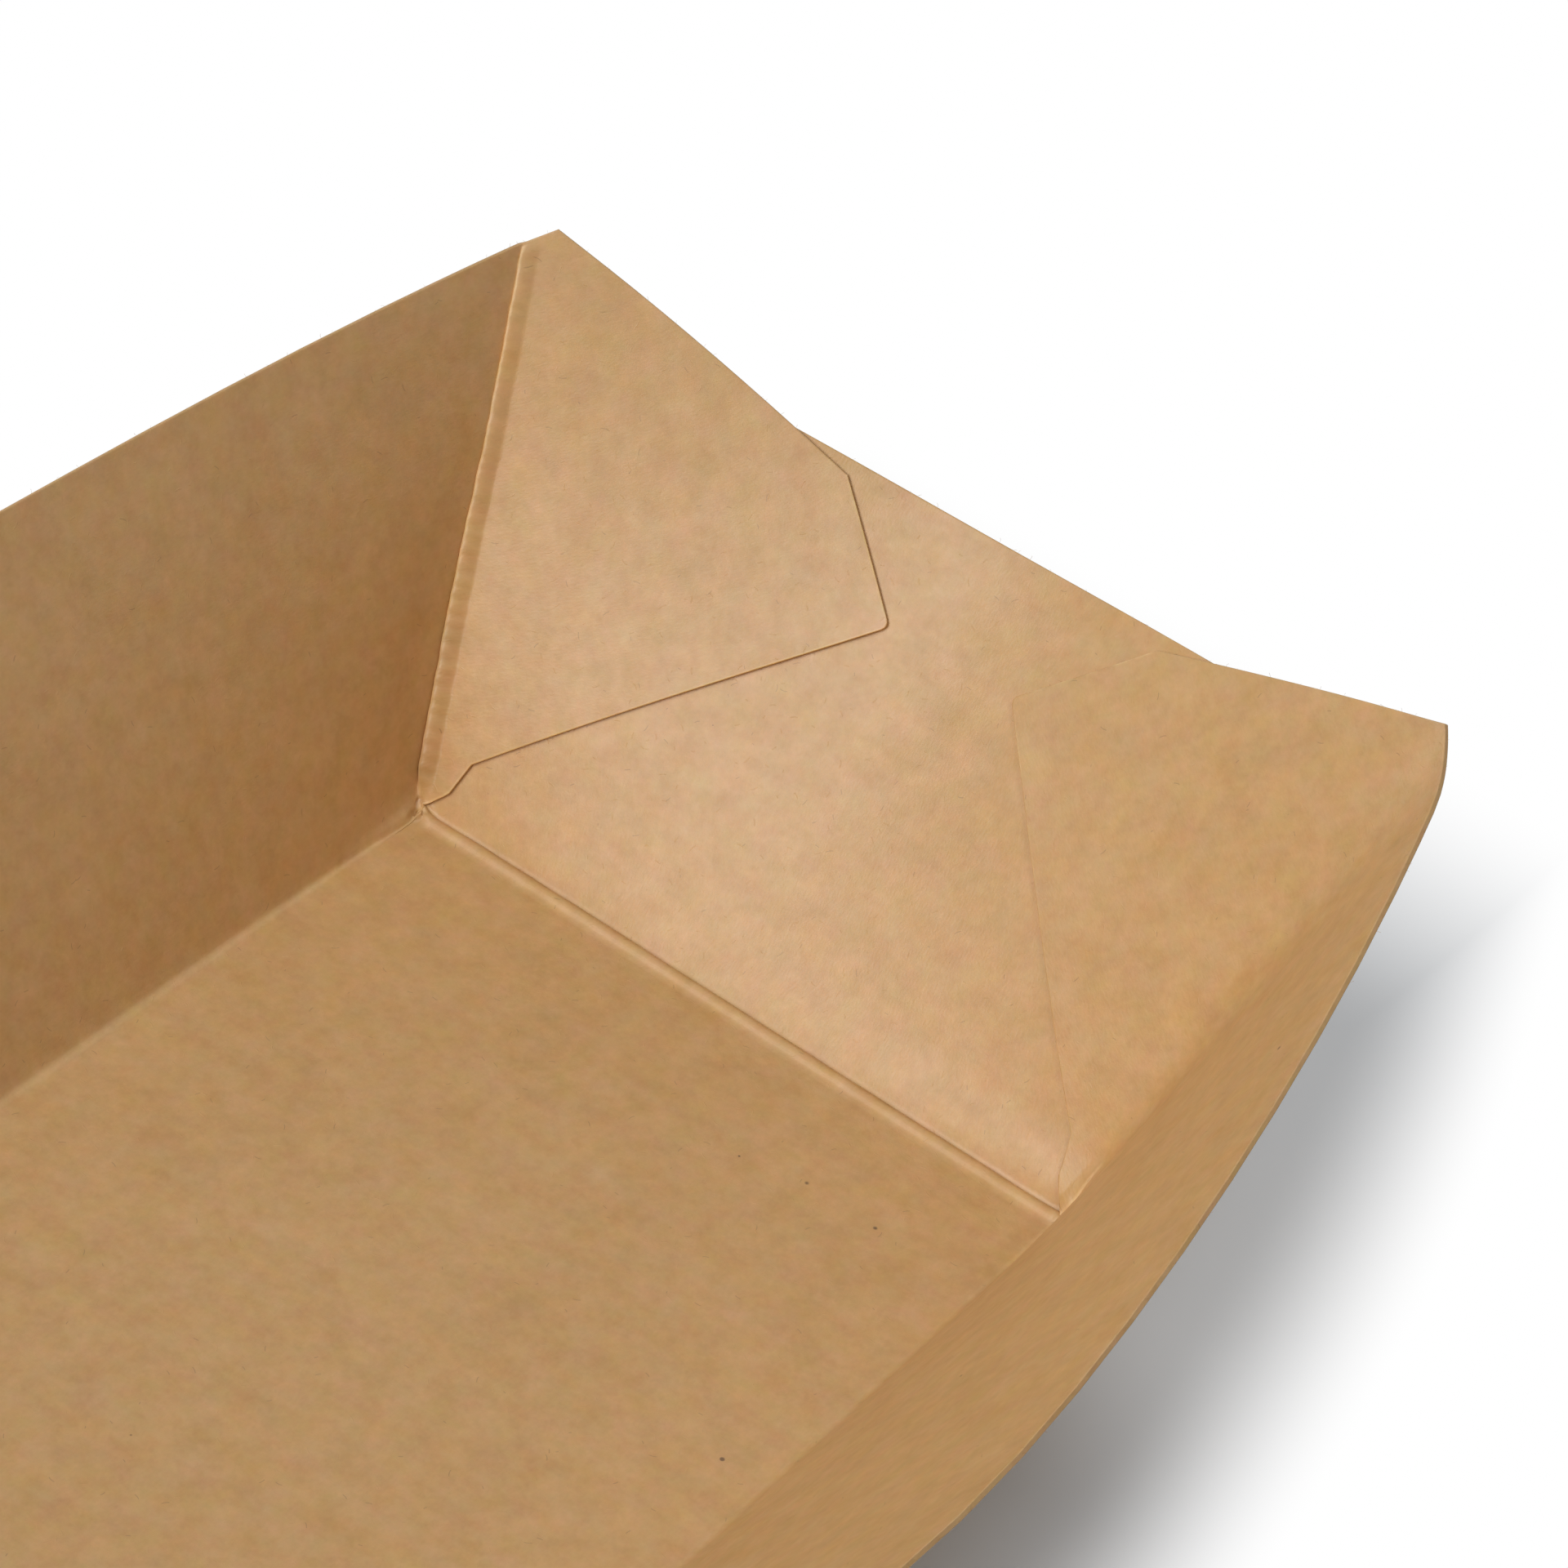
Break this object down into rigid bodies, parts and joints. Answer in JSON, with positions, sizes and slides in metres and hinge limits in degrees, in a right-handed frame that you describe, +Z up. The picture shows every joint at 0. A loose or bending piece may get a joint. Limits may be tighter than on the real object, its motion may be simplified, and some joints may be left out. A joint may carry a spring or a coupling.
{
  "type": "cardboard snack tray",
  "caption": "Open rectangular snack tray folded from one kraft board blank, with outward leaning, bowed walls, pointed corners and glue tabs lapped inside the end walls.",
  "frame": {"origin": "centre of the underside of the flat floor", "axes": "+Z up out of the tray, +Y along the tray's length, +X across it"},
  "size_m": [0.1212, 0.188, 0.0466],
  "materials": {
    "kraft_board": "uncoated brown kraft board with a faint calendered sheen and fine mottling"
  },
  "bodies": {
    "root": {"tray": "kraft_board"}
  },
  "joints": []
}
